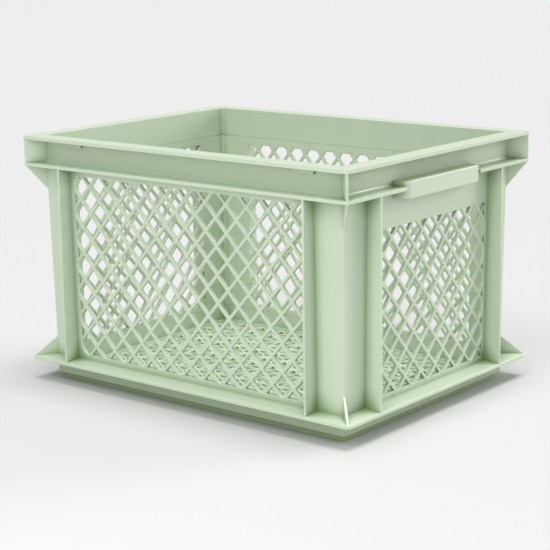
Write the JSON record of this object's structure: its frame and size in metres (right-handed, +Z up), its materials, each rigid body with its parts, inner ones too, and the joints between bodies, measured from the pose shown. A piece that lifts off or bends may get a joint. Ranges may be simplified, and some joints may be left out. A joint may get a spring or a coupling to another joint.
{
  "type": "bike crate",
  "caption": "Open-topped stacking crate with diamond grid walls, corner posts, a flanged rim, hollow grips at both ends and a star floor.",
  "frame": {"origin": "middle of the footprint, on the ground under the stacking foot", "axes": "+X along the longer side, towards one grip; +Y along the shorter side; +Z up, towards the open rim"},
  "size_m": [0.4, 0.3, 0.249],
  "materials": {
    "crate_plastic": "satin moulded polypropylene, pale sage green"
  },
  "bodies": {
    "root": {"front_grid_wall": "crate_plastic", "rear_grid_wall": "crate_plastic", "left_grid_wall": "crate_plastic", "right_grid_wall": "crate_plastic", "front_rim": "crate_plastic", "rear_rim": "crate_plastic", "left_rim": "crate_plastic", "right_rim": "crate_plastic", "front_base": "crate_plastic", "rear_base": "crate_plastic", "left_base": "crate_plastic", "right_base": "crate_plastic", "front_rib_a": "crate_plastic", "front_rib_b": "crate_plastic", "rear_rib_a": "crate_plastic", "rear_rib_b": "crate_plastic", "left_rib_a": "crate_plastic", "left_rib_b": "crate_plastic", "right_rib_a": "crate_plastic", "right_rib_b": "crate_plastic", "left_grip": "crate_plastic", "right_grip": "crate_plastic", "front_right_rim_corner": "crate_plastic", "rear_right_rim_corner": "crate_plastic", "rear_left_rim_corner": "crate_plastic", "front_left_rim_corner": "crate_plastic", "front_right_post": "crate_plastic", "rear_right_post": "crate_plastic", "rear_left_post": "crate_plastic", "front_left_post": "crate_plastic", "front_right_base_corner": "crate_plastic", "rear_right_base_corner": "crate_plastic", "rear_left_base_corner": "crate_plastic", "front_left_base_corner": "crate_plastic", "floor_grid": "crate_plastic"}
  },
  "joints": []
}
